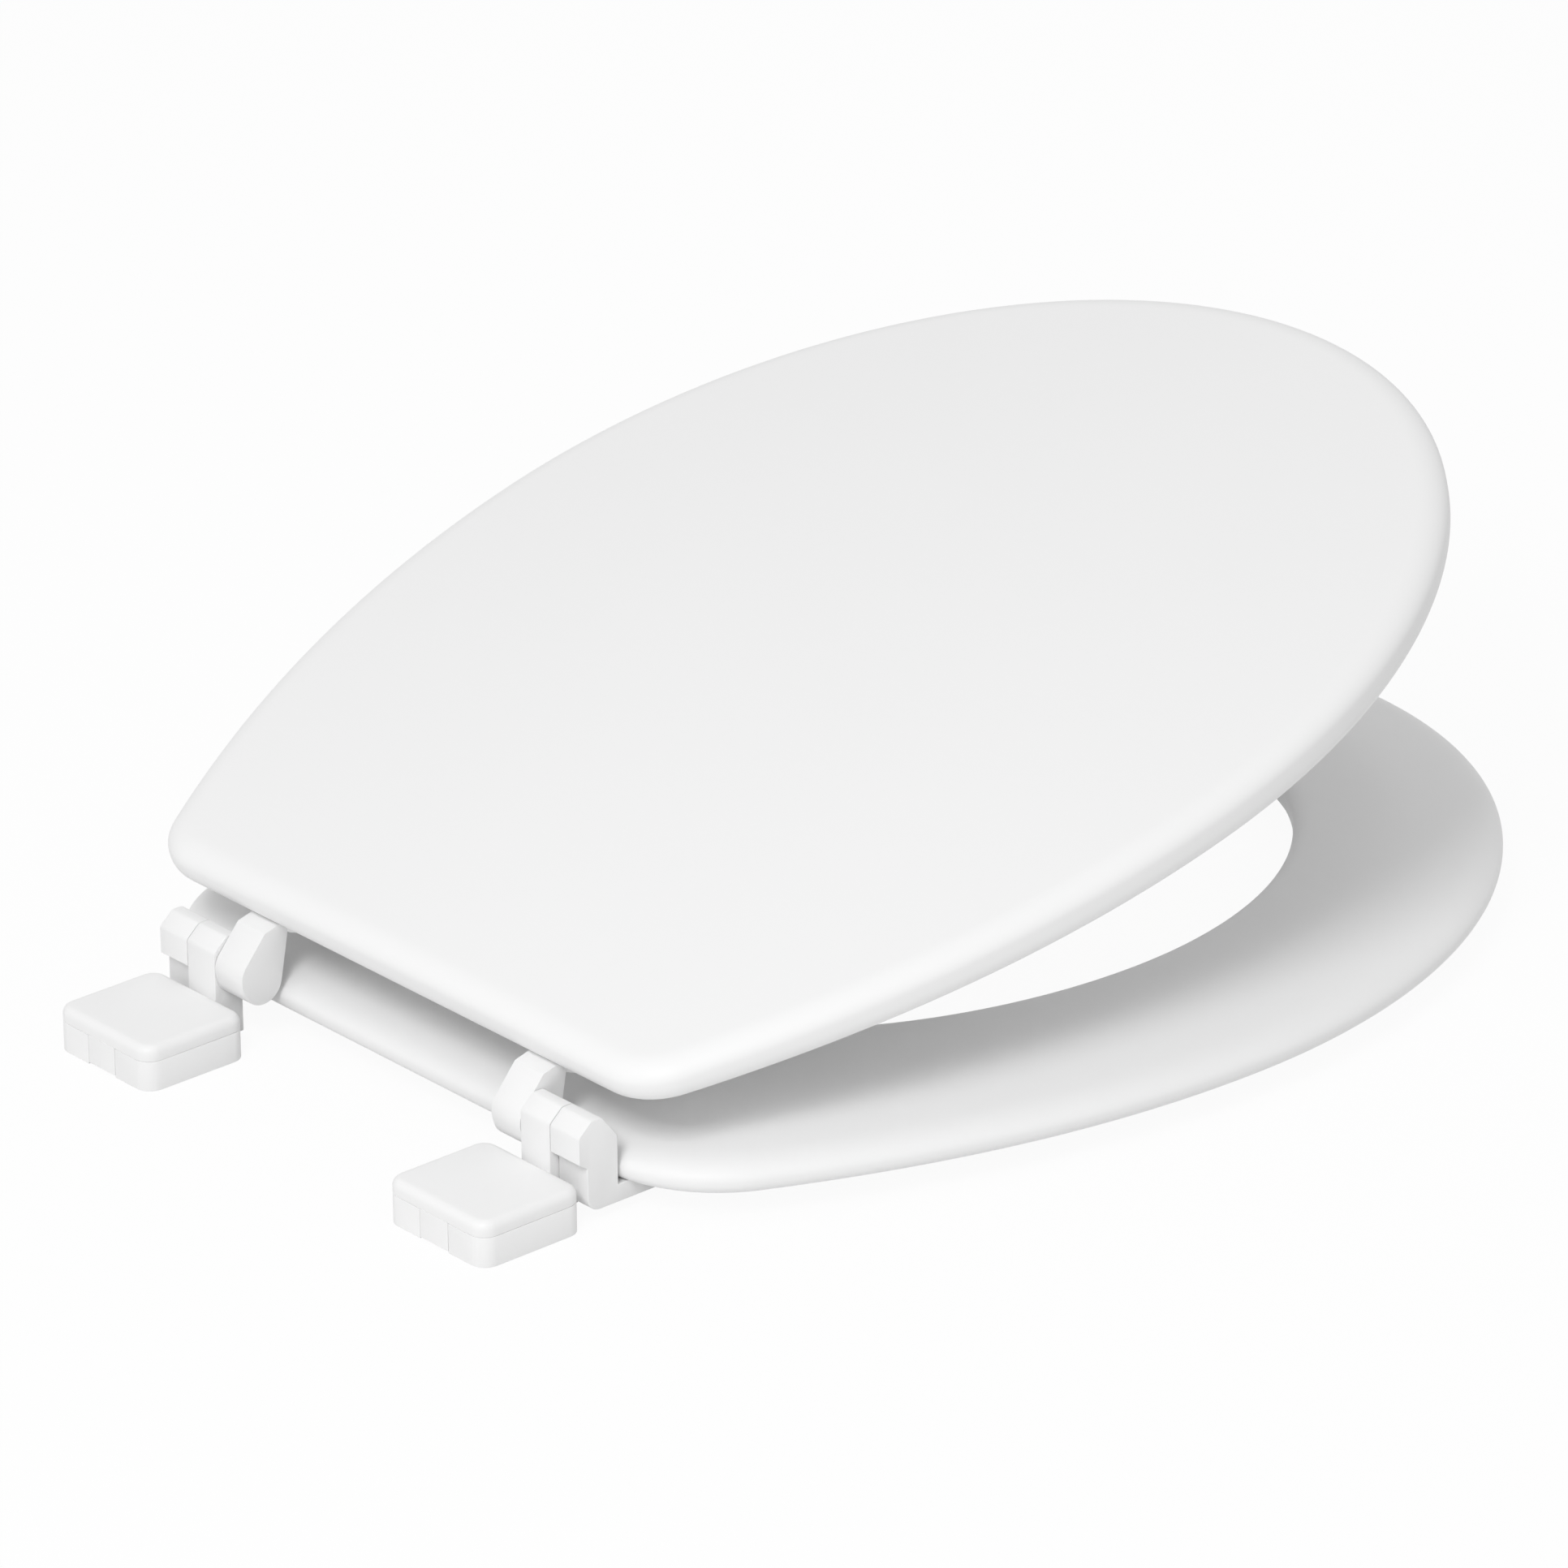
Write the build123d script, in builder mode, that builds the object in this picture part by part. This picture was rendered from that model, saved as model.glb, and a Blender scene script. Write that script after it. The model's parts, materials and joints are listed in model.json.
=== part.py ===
from build123d import *
from math import acos, atan2, cos, hypot, radians, sin
import os

os.makedirs("parts", exist_ok=True)

# A moulded seat ring and its lid on a pair of plastic hinges. Lengths are in mm.
# The origin is midway between the two bolt slots, on the surface that the hinge
# posts are bolted to. +X is to the right, +Y to the front of the seat, +Z up.
# The lid is drawn part open.

# Hinge posts and their snap-on covers
post_spacing = 173.6
post_width = 49.2
post_depth = 42.4
post_corner = 6.0
post_base = 10.6
post_floor = 4.0
post_wall = 3.2
neck_front = 3.3
neck_top = 12.0
slot_length = 28.0
slot_width = 8.5
cover_height = 16.1
cover_edge = 0.25
cover_round = 3.0
cover_roof = 2.4
cover_clear = 0.4
skirt_gap = 0.3
skirt_wall = 1.6
tab_width = 14.0
tab_thick = 1.8
tab_lift = 0.6
tab_gap = 0.2

# Knuckles and pins
hinge_z = 26.0
knuckle_width = 14.4
knuckle_gap = 0.4
knuckle_half = 8.1
knuckle_top = 10.5
knuckle_rear_flat = 2.8
knuckle_front_flat = 1.6
knuckle_rear_drop = 4.6
knuckle_front_drop = 8.4
knuckle_under = 6.0
knuckle_soft = 2.0
pin_radius = 4.0
pin_slack = 0.06
pin_end_wall = 3.0
pin_end_gap = 0.3

# Seat ring
ring_half_width = 190.4
ring_rear_half = 130.4
ring_rear = 38.4
ring_widest = 250.0
ring_front = 477.0
ring_corner = 51.0
ring_bottom = 10.4
ring_thickness = 17.2
crown_run = 42.0
crown_drop = 7.4
ring_top_round = 6.0
ring_low_round = 4.2
hole_half_width = 119.4
hole_centre = 255.0
hole_front = 402.2
hole_rear = 97.2
dish_run = 29.0
dish_drop = 2.6
lip_round = 5.0
edge_pick = 0.1
hole_low_round = 8.5

# Lid
lid_open = 14.6
lid_half_width = 183.0
lid_rear_half = 124.4
lid_rear = 39.0
lid_widest = 250.0
lid_front = 469.5
lid_corner = 26.0
lid_bottom = 40.0
lid_edge = 15.0
lid_crown = 4.5
lid_top_round = 9.0
lid_low_round = 5.0

# Lid leaves
barrel_drop = 2.3
arm_lean = 35.0
plate_rear = 14.5
plate_front = 54.0
plate_thick = 4.4
plate_width = 24.0
plate_corner = 5.0
lid_screw_first = 26.0
lid_screw_pitch = 18.0

# Ring leaves
leg_rear = 4.7
leg_high = 6.0
leg_cut = 3.7
foot_thick = 6.3
foot_rear = 14.5
foot_front = 48.0
foot_width = 24.0
foot_corner = 5.0
heel_round = 5.0
foot_screw_first = 23.0
foot_screw_pitch = 15.0

# Screws
screw_radius = 2.0
screw_head = 3.9
screw_head_height = 2.2
screw_bite = 8.0
screw_tip = 2.0
screw_slack = 0.06
cross_width = 1.0
cross_reach = 4.7
cross_depth = 1.2

# Buffers
buffer_radius = 11.0
buffer_round = 2.0
peg_radius = 3.0
peg_length = 6.0
peg_slack = 0.06
front_buffer_side = 74.0
front_buffer_back = 104.6
rear_buffer_side = 68.0
rear_buffer_ahead = 91.6
lid_buffer_radius = 8.0
lid_buffer_side = 57.0
lid_buffer_back = 119.5
lid_buffer_air = 0.3

# Places worked out from the sizes above
post_x = post_spacing / 2
hinge_y = post_depth / 2 + cover_clear + knuckle_half
skirt_bottom = post_floor + skirt_gap
post_knuckle_x = post_x - knuckle_width / 2
ring_leaf_x = post_knuckle_x + knuckle_width + knuckle_gap
ring_leaf_end = ring_leaf_x + knuckle_width
lid_leaf_end = post_knuckle_x - knuckle_gap
lid_leaf_x = lid_leaf_end - knuckle_width
ring_under = ring_bottom - hinge_z
ring_top = ring_bottom + ring_thickness
lid_under = lid_bottom - hinge_z
shoulder_z = ring_top - crown_drop
lip_z = ring_top - dish_drop
front_buffer_x = ring_half_width - front_buffer_side
front_buffer_y = ring_front - front_buffer_back
rear_buffer_x = ring_half_width - rear_buffer_side
rear_buffer_y = ring_rear + rear_buffer_ahead
lid_buffer_x = lid_half_width - lid_buffer_side
lid_buffer_y = lid_front - lid_buffer_back - hinge_y
arm_slope = radians(arm_lean)
arm_reach = (lid_under * cos(arm_slope) - knuckle_half) / sin(arm_slope)
plate_rise = lid_under - plate_thick + barrel_drop
arm_turn = atan2(plate_rise, plate_rear) - acos(knuckle_half / hypot(plate_rear, plate_rise))
lid_up = Axis((0, hinge_y, hinge_z), (0, -sin(radians(lid_open)), cos(radians(lid_open))))


def level(height, tilt=0.0, x=0.0, y=0.0):
    """A plane level with the ring or the tilted lid, placed from the hinge axis, with +Z up."""
    slope = radians(tilt)
    return Plane(
        origin=(
            x,
            hinge_y + y * cos(slope) - height * sin(slope),
            hinge_z + y * sin(slope) + height * cos(slope),
        ),
        x_dir=(1, 0, 0),
        z_dir=(0, -sin(slope), cos(slope)),
    )


def across(x, tilt=0.0):
    """A plane square to the hinge axis at x, with its origin on the axis and its X to the front."""
    slope = radians(tilt)
    return Plane(origin=(x, hinge_y, hinge_z), x_dir=(0, cos(slope), sin(slope)), z_dir=(1, 0, 0))


def egg(half_width, rear_half, rear, widest, front, corner):
    """The outline of the ring or lid: straight rear, parabolic sides and an elliptical front."""
    middle = (rear + widest) / 2
    with BuildSketch() as plan:
        with BuildLine():
            Line((-rear_half, rear), (rear_half, rear))
            Bezier((rear_half, rear), (half_width, middle), (half_width, widest))
            EllipticalCenterArc((0, widest), half_width, front - widest, 0, arc_size=180)
            Bezier((-half_width, widest), (-half_width, middle), (-rear_half, rear))
        make_face()
        fillet(plan.vertices().group_by(Axis.Y)[0], radius=corner)
    return plan.sketch


def opening(grow):
    """The outline of the ring's opening, widened all round by grow."""
    half = hole_half_width + grow
    with BuildSketch() as plan:
        with BuildLine():
            EllipticalCenterArc((0, hole_centre), half, hole_front - hole_centre + grow, 0, arc_size=180)
            EllipticalCenterArc((0, hole_centre), half, hole_centre - hole_rear + grow, 180, arc_size=180)
        make_face()
    return plan.sketch


def screw_form(seat, bridge, slack):
    """A countersunk wood screw with its head in the plane seat, grown by slack to make its hole."""
    length = bridge + screw_bite + slack
    with BuildPart() as form:
        with BuildSketch(Plane(origin=seat.origin, x_dir=seat.x_dir, z_dir=seat.x_dir.cross(seat.z_dir))):
            with BuildLine():
                Polyline(
                    (0, 0),
                    (screw_head + slack, 0),
                    (screw_radius + slack, screw_head_height),
                    (screw_radius + slack, length - screw_tip),
                    (0, length),
                    close=True,
                )
            make_face()
        revolve(axis=Axis(seat.origin, seat.z_dir))
    return form.part


def wood_screw(seat, bridge):
    """A countersunk wood screw with a cross recess in its head."""
    with BuildPart() as screw:
        add(screw_form(seat, bridge, 0))
        with BuildSketch(seat):
            Rectangle(cross_width, cross_reach)
            Rectangle(cross_reach, cross_width)
        extrude(amount=cross_depth, mode=Mode.SUBTRACT)
    return screw.part


def other_side(piece):
    """The left-hand piece that matches a right-hand one."""
    with BuildPart() as left:
        add(mirror(piece, about=Plane.YZ))
    return left.part


def write(piece, name):
    """Labels a finished piece and writes it to its own file."""
    piece.label = name
    export_step(piece, "parts/" + name + ".step")


# Screw places: the heads face down, under the lid's plates and under the ring's feet.
lid_screw_x = (lid_leaf_x + lid_leaf_end) / 2
foot_screw_x = ring_leaf_end - foot_width / 2
lid_screw_seats = [
    level(lid_under - plate_thick, lid_open, lid_screw_x, lid_screw_first + step * lid_screw_pitch)
    for step in (0, 1)
]
foot_screw_seats = [
    level(ring_under - foot_thick, 0, foot_screw_x, foot_screw_first + step * foot_screw_pitch)
    for step in (0, 1)
]
lid_screw_holes = [screw_form(seat, plate_thick, screw_slack) for seat in lid_screw_seats]
foot_screw_holes = [screw_form(seat, foot_thick, screw_slack) for seat in foot_screw_seats]

# Lid: a slightly crowned board with a big round on its upper edge
lid_plan = egg(
    lid_half_width,
    lid_rear_half,
    lid_rear - hinge_y,
    lid_widest - hinge_y,
    lid_front - hinge_y,
    lid_corner,
)
lid_middle = (lid_rear + lid_front) / 2 - hinge_y
lid_reach = (lid_front - lid_rear) / 2
crown_radius = (lid_reach**2 + lid_crown**2) / (2 * lid_crown)
with BuildPart() as lid:
    with BuildSketch(level(lid_under, lid_open)):
        add(lid_plan)
    extrude(amount=lid_edge + lid_crown)
    with Locations(level(lid_under + lid_edge + lid_crown - crown_radius, lid_open, 0, lid_middle)):
        Sphere(crown_radius, mode=Mode.INTERSECT)
    fillet(lid.faces().sort_by(lid_up)[-1].edges(), radius=lid_top_round)
    fillet(lid.faces().sort_by(lid_up)[0].edges(), radius=lid_low_round)
    with BuildSketch(level(lid_under, lid_open)):
        with Locations((lid_buffer_x, lid_buffer_y), (-lid_buffer_x, lid_buffer_y)):
            Circle(peg_radius + peg_slack)
    extrude(amount=peg_length + peg_slack, mode=Mode.SUBTRACT)
    for hole in lid_screw_holes:
        add(hole, mode=Mode.SUBTRACT)
        add(mirror(hole, about=Plane.YZ), mode=Mode.SUBTRACT)
write(lid.part, "lid")

# Seat ring: its top falls from a crown to a round outer edge and is dished down to the opening
ring_plan = egg(ring_half_width, ring_rear_half, ring_rear, ring_widest, ring_front, ring_corner)
hole_plan = opening(0)
dish_plan = opening(dish_run * 2)
with BuildPart() as seat_ring:
    with BuildSketch(Plane.XY.offset(ring_bottom)):
        add(ring_plan)
    extrude(amount=ring_thickness)
    flat_top = seat_ring.faces().sort_by(Axis.Z)[-1]
    chamfer(flat_top.edges(), length=crown_run, length2=crown_drop, reference=flat_top)
    shoulder = seat_ring.edges().filter_by(lambda edge: abs(edge.center().Z - shoulder_z) < edge_pick)
    fillet(shoulder, radius=ring_top_round)
    fillet(seat_ring.faces().sort_by(Axis.Z)[0].edges(), radius=ring_low_round)
    with BuildSketch(Plane.XY.offset(ring_bottom)):
        add(hole_plan)
    extrude(amount=ring_thickness, mode=Mode.SUBTRACT)
    with BuildSketch(Plane.XY.offset(lip_z)):
        add(hole_plan)
    with BuildSketch(Plane.XY.offset(ring_top + dish_drop)):
        add(dish_plan)
    loft(mode=Mode.SUBTRACT)
    lip = seat_ring.edges().filter_by(lambda edge: abs(edge.center().Z - lip_z) < edge_pick)
    fillet(lip, radius=lip_round)
    fillet(seat_ring.faces().sort_by(Axis.Z)[0].inner_wires()[0].edges(), radius=hole_low_round)
    with BuildSketch(Plane.XY.offset(ring_bottom)):
        with Locations(
            (front_buffer_x, front_buffer_y),
            (-front_buffer_x, front_buffer_y),
            (rear_buffer_x, rear_buffer_y),
            (-rear_buffer_x, rear_buffer_y),
        ):
            Circle(peg_radius + peg_slack)
    extrude(amount=peg_length + peg_slack, mode=Mode.SUBTRACT)
    for hole in foot_screw_holes:
        add(hole, mode=Mode.SUBTRACT)
        add(mirror(hole, about=Plane.YZ), mode=Mode.SUBTRACT)
write(seat_ring.part, "seat_ring")

# Hinge post: a hollow foot with a bolt slot, and a neck up to the middle knuckle
inner_width = post_width - 2 * post_wall
inner_depth = post_depth - 2 * post_wall
inner_corner = post_corner - post_wall
with BuildPart() as hinge_post:
    with BuildSketch():
        with Locations((post_x, 0)):
            RectangleRounded(post_width, post_depth, post_corner)
    extrude(amount=post_base)
    with BuildSketch(Plane.XY.offset(post_floor)):
        with Locations((post_x, 0)):
            RectangleRounded(inner_width, inner_depth, inner_corner)
    extrude(amount=post_base, mode=Mode.SUBTRACT)
    with BuildSketch():
        with Locations((post_x, 0)):
            SlotOverall(slot_length, slot_width)
    extrude(amount=post_floor, mode=Mode.SUBTRACT)
    with BuildSketch():
        with Locations((post_x, -post_depth / 2)):
            Rectangle(tab_width + 2 * tab_gap, 2 * (tab_thick + tab_gap))
    extrude(amount=post_base, mode=Mode.SUBTRACT)
    with BuildSketch(across(post_knuckle_x)):
        with BuildLine():
            Polyline(
                (-knuckle_half - cover_clear - post_wall / 2, -hinge_z),
                (neck_front, -hinge_z),
                (neck_front, -neck_top),
                (knuckle_half, -knuckle_under),
                (knuckle_half, knuckle_top - knuckle_front_drop),
                (knuckle_front_flat, knuckle_top),
                (-knuckle_rear_flat, knuckle_top),
                (-knuckle_half, knuckle_top - knuckle_rear_drop),
                (-knuckle_half, post_base - hinge_z),
                (-knuckle_half - cover_clear - post_wall / 2, post_base - hinge_z),
                close=True,
            )
        make_face()
    extrude(amount=knuckle_width)
    soft = hinge_post.edges().filter_by(Axis.X).filter_by_position(Axis.Z, hinge_z, hinge_z + knuckle_top)
    fillet(soft, radius=knuckle_soft)
    with BuildSketch(across(post_knuckle_x)):
        Circle(pin_radius + pin_slack)
    extrude(amount=knuckle_width, mode=Mode.SUBTRACT)
write(hinge_post.part, "hinge_post_right")
write(other_side(hinge_post.part), "hinge_post_left")

# Bolt cover: a cap whose skirt stands inside the post, with a tab to lift it by
skirt_width = inner_width - 2 * skirt_gap
skirt_depth = inner_depth - 2 * skirt_gap
skirt_corner = inner_corner - skirt_gap
with BuildPart() as bolt_cover:
    with BuildSketch(Plane.XY.offset(post_base)):
        with Locations((post_x, 0)):
            RectangleRounded(post_width, post_depth, post_corner)
    extrude(amount=cover_height - post_base)
    fillet(bolt_cover.faces().sort_by(Axis.Z)[-1].edges(), radius=cover_round)
    chamfer(bolt_cover.faces().sort_by(Axis.Z)[0].edges(), length=cover_edge)
    with BuildSketch(Plane.XY.offset(skirt_bottom)):
        with Locations((post_x, 0)):
            RectangleRounded(skirt_width, skirt_depth, skirt_corner)
    extrude(amount=post_base - skirt_bottom)
    with BuildSketch(Plane.XY.offset(skirt_bottom)):
        with Locations((post_x, 0)):
            RectangleRounded(
                skirt_width - 2 * skirt_wall, skirt_depth - 2 * skirt_wall, skirt_corner - skirt_wall
            )
    extrude(amount=cover_height - cover_roof - skirt_bottom, mode=Mode.SUBTRACT)
    with BuildSketch(Plane.XY.offset(tab_lift)):
        with Locations((post_x, -post_depth / 2 + tab_thick / 2)):
            Rectangle(tab_width, tab_thick)
    extrude(amount=post_base - tab_lift)
write(bolt_cover.part, "bolt_cover_right")
write(other_side(bolt_cover.part), "bolt_cover_left")

# Lid leaf: a long barrel beside the post's knuckle, with a plate screwed under the lid
with BuildPart() as lid_leaf:
    with BuildSketch(across(lid_leaf_x, lid_open)):
        Circle(knuckle_half)
        with Locations((0, -barrel_drop / 2)):
            Rectangle(2 * knuckle_half, barrel_drop)
        with Locations((0, -barrel_drop)):
            Circle(knuckle_half)
        with BuildLine():
            Polyline(
                (-knuckle_half * sin(arm_slope), knuckle_half * cos(arm_slope)),
                (arm_reach, lid_under),
                (plate_front, lid_under),
                (plate_front, lid_under - plate_thick),
                (plate_rear, lid_under - plate_thick),
                (knuckle_half * cos(arm_turn), knuckle_half * sin(arm_turn) - barrel_drop),
                (0, 0),
                close=True,
            )
        make_face()
    extrude(amount=knuckle_width)
    with BuildSketch(level(lid_under, lid_open)):
        with Locations((lid_screw_x, (plate_rear + plate_front) / 2)):
            RectangleRounded(plate_width, plate_front - plate_rear, plate_corner)
    extrude(amount=-plate_thick)
    with BuildSketch(across(lid_leaf_end, lid_open)):
        Circle(pin_radius + pin_slack)
    extrude(amount=pin_end_wall - knuckle_width, mode=Mode.SUBTRACT)
    for hole in lid_screw_holes:
        add(hole, mode=Mode.SUBTRACT)
write(lid_leaf.part, "lid_leaf_right")
write(other_side(lid_leaf.part), "lid_leaf_left")

# Ring leaf: the outer knuckle, with a leg down to a foot screwed under the ring
with BuildPart() as ring_leaf:
    with BuildSketch(across(ring_leaf_x)):
        with BuildLine():
            Polyline(
                (-knuckle_half, -leg_cut),
                (-knuckle_half, knuckle_top - knuckle_rear_drop),
                (-knuckle_rear_flat, knuckle_top),
                (knuckle_front_flat, knuckle_top),
                (knuckle_half, knuckle_top - knuckle_front_drop),
                (knuckle_half, ring_under),
                (foot_front, ring_under),
                (foot_front, ring_under - foot_thick),
                (-leg_rear, ring_under - foot_thick),
                (-leg_rear, -leg_high),
                close=True,
            )
        make_face()
    extrude(amount=knuckle_width)
    soft = ring_leaf.edges().filter_by(Axis.X).filter_by_position(Axis.Z, hinge_z, hinge_z + knuckle_top)
    fillet(soft, radius=knuckle_soft)
    heel = ring_leaf.edges().filter_by(Axis.X).group_by(Axis.Z)[0].sort_by(Axis.Y)[0]
    fillet(heel, radius=heel_round)
    with BuildSketch(level(ring_under)):
        with Locations((foot_screw_x, (foot_rear + foot_front) / 2)):
            RectangleRounded(foot_width, foot_front - foot_rear, foot_corner)
    extrude(amount=-foot_thick)
    with BuildSketch(across(ring_leaf_x)):
        Circle(pin_radius + pin_slack)
    extrude(amount=knuckle_width - pin_end_wall, mode=Mode.SUBTRACT)
    for hole in foot_screw_holes:
        add(hole, mode=Mode.SUBTRACT)
write(ring_leaf.part, "ring_leaf_right")
write(other_side(ring_leaf.part), "ring_leaf_left")

# Hinge pin: held between the blind ends of the two leaves
pin_start = lid_leaf_x + pin_end_wall + pin_end_gap
pin_end = ring_leaf_end - pin_end_wall - pin_end_gap
with BuildPart() as hinge_pin:
    with BuildSketch(across(pin_start)):
        Circle(pin_radius)
    extrude(amount=pin_end - pin_start)
    chamfer(hinge_pin.edges().filter_by(GeomType.CIRCLE), length=pin_end_gap)
write(hinge_pin.part, "hinge_pin_right")
write(other_side(hinge_pin.part), "hinge_pin_left")

# Screws
for seats, bridge, holder in ((lid_screw_seats, plate_thick, "lid"), (foot_screw_seats, foot_thick, "ring")):
    for seat, row in zip(seats, ("rear", "front")):
        screw = wood_screw(seat, bridge)
        write(screw, holder + "_screw_right_" + row)
        write(other_side(screw), holder + "_screw_left_" + row)

# Buffers under the ring, standing on the bowl
for x, y, row in ((front_buffer_x, front_buffer_y, "front"), (rear_buffer_x, rear_buffer_y, "rear")):
    with BuildPart() as ring_buffer:
        with BuildSketch():
            with Locations((x, y)):
                Circle(buffer_radius)
        extrude(amount=ring_bottom)
        fillet(ring_buffer.faces().sort_by(Axis.Z)[0].edges(), radius=buffer_round)
        with BuildSketch(Plane.XY.offset(ring_bottom)):
            with Locations((x, y)):
                Circle(peg_radius)
        extrude(amount=peg_length)
    write(ring_buffer.part, "ring_buffer_right_" + row)
    write(other_side(ring_buffer.part), "ring_buffer_left_" + row)

# Buffers under the lid, which meet the ring when the lid is shut
with BuildPart() as lid_buffer:
    with BuildSketch(level(lid_under, lid_open)):
        with Locations((lid_buffer_x, lid_buffer_y)):
            Circle(lid_buffer_radius)
    extrude(amount=ring_top + lid_buffer_air - lid_bottom)
    fillet(lid_buffer.faces().sort_by(lid_up)[0].edges(), radius=buffer_round)
    with BuildSketch(level(lid_under, lid_open)):
        with Locations((lid_buffer_x, lid_buffer_y)):
            Circle(peg_radius)
    extrude(amount=peg_length)
write(lid_buffer.part, "lid_buffer_right")
write(other_side(lid_buffer.part), "lid_buffer_left")
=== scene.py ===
"""A toilet seat: an enamelled ring and lid on white plastic hinges, on a pale studio floor.

Lengths are in metres, in the frame of the packed model: +X right, +Y to the front of the seat, +Z up.
"""

import json
from math import atan2, cos, pi, radians, sin

import bmesh
import bpy
import numpy as np
from bpy.props import FloatProperty, FloatVectorProperty, PointerProperty
from bpy.types import Operator, Panel, PropertyGroup
from mathutils import Matrix, Vector


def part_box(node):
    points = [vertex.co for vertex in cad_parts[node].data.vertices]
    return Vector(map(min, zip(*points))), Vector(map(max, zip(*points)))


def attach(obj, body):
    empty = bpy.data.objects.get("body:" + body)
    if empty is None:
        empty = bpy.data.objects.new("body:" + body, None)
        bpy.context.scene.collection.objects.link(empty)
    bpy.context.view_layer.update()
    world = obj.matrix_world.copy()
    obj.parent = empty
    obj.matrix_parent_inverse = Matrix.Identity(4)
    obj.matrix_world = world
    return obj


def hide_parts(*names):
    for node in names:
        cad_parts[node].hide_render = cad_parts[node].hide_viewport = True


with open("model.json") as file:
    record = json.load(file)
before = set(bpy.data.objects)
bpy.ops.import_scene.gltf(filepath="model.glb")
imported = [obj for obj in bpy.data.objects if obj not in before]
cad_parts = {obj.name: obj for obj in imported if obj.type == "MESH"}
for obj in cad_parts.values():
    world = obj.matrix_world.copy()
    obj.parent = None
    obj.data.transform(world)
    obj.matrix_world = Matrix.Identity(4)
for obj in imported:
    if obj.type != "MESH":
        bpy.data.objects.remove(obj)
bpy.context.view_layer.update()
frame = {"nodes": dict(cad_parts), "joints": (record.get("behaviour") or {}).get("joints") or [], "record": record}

bl_info = {
    "name": "Toilet seat",
    "version": (1, 0, 0),
    "blender": (4, 5, 0),
    "location": "View3D > Sidebar > Seat",
    "description": "Builds the looks of a toilet seat around its packed model",
    "category": "Object",
}

IMAGE_WIDTH = 1932
SIDES = ("left", "right")
ROWS = ("rear", "front")

# How finely the boards are drawn: points along a stretch of the outline, and rows along each stretch of
# the section.
OUTLINE_STEPS = 72
FLAT_ROWS = 18
LID_LOW_ROWS = 13
LID_TOP_ROWS = 20
RING_UNDER_ROWS = 6
RING_LOW_ROWS = 9
RING_EDGE_ROWS = 22
RING_TOP_ROWS = 26
LIP_ROWS = 16
HOLE_LOW_ROWS = 6

# The innermost row on the lid's two faces, as a share of the outline. A point in the middle closes it.
FLAT_START = 0.06

# Steps that find where a rear corner's round meets the side.
HALVINGS = 50

# In packed meshes, points nearer than this are one point and faces within this angle are one face.
SAME_POINT = 1e-6
SAME_FACE = radians(0.6)

# Points of a packed screw within this height of its head's end lie on the head's flat face.
HEAD_FACE = 1e-5

# Edges that turn by more than these angles are rounded.
PLASTIC_EDGE = radians(28)
BUFFER_EDGE = radians(40)
ROUND_SEGMENTS = 3

# The cross in a screw's head: its span as a share of the head's radius, and the second slot's depth as a
# share of the first's. The depths differ so that the two bottoms don't share a plane.
SLOT_SPAN = 1.2
SECOND_SLOT = 0.9
HEAD_SIDES = 40
SHANK_SIDES = 32

# Both lamps are square and face one point over the middle of the seat.
LAMP_AIM = (0.0, 0.22, 0.06)
KEY_PLACE = (0.9, -1.5, 1.9)
KEY_SIZE = 0.8
OVERHEAD_PLACE = (0.2, 0.2, 2.4)
OVERHEAD_SIZE = 2.0

# The share of plain white in the floor as the camera sees it. The rest shows the shadow.
FLOOR_WHITE = 0.94

JOINTS = {joint["name"]: joint for joint in frame["joints"]}
HINGE_Y, HINGE_Z = JOINTS["lid_hinge"]["pos_m"][1:]
LID_TILT = radians(JOINTS["lid_hinge"]["range_deg"][1])


def lid_to_frame(points):
    """Points drawn from the hinge axis on the shut lid, moved to the lid's place at rest."""
    points = np.asarray(points, float)
    across, along, up = points.T
    return np.column_stack([
        across,
        HINGE_Y + along * cos(LID_TILT) - up * sin(LID_TILT),
        HINGE_Z + along * sin(LID_TILT) + up * cos(LID_TILT),
    ])


def node_points(node):
    """The corners of a packed piece's mesh, in the frame."""
    return np.array([vertex.co for vertex in frame["nodes"][node].data.vertices], float)


def shut_lid_box(node):
    """Lowest and highest corner of a piece of the lid, measured from the hinge axis with the lid shut."""
    across, along, up = (node_points(node) - (0, HINGE_Y, HINGE_Z)).T
    turned = np.column_stack([
        across,
        along * cos(LID_TILT) + up * sin(LID_TILT),
        up * cos(LID_TILT) - along * sin(LID_TILT),
    ])
    return turned.min(0), turned.max(0)


LID_LOW, LID_HIGH = shut_lid_box("lid")
RING_LOW, RING_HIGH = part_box("seat_ring")


def length(name, description, default):
    """A size in metres that a user may change."""
    return FloatProperty(
        name=name, description=description, default=default, min=0, precision=5, unit="LENGTH"
    )


def colour(name, description, default):
    """A linear colour that a user may change."""
    return FloatVectorProperty(
        name=name, description=description, default=default, size=3, min=0, max=1, subtype="COLOR"
    )


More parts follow.
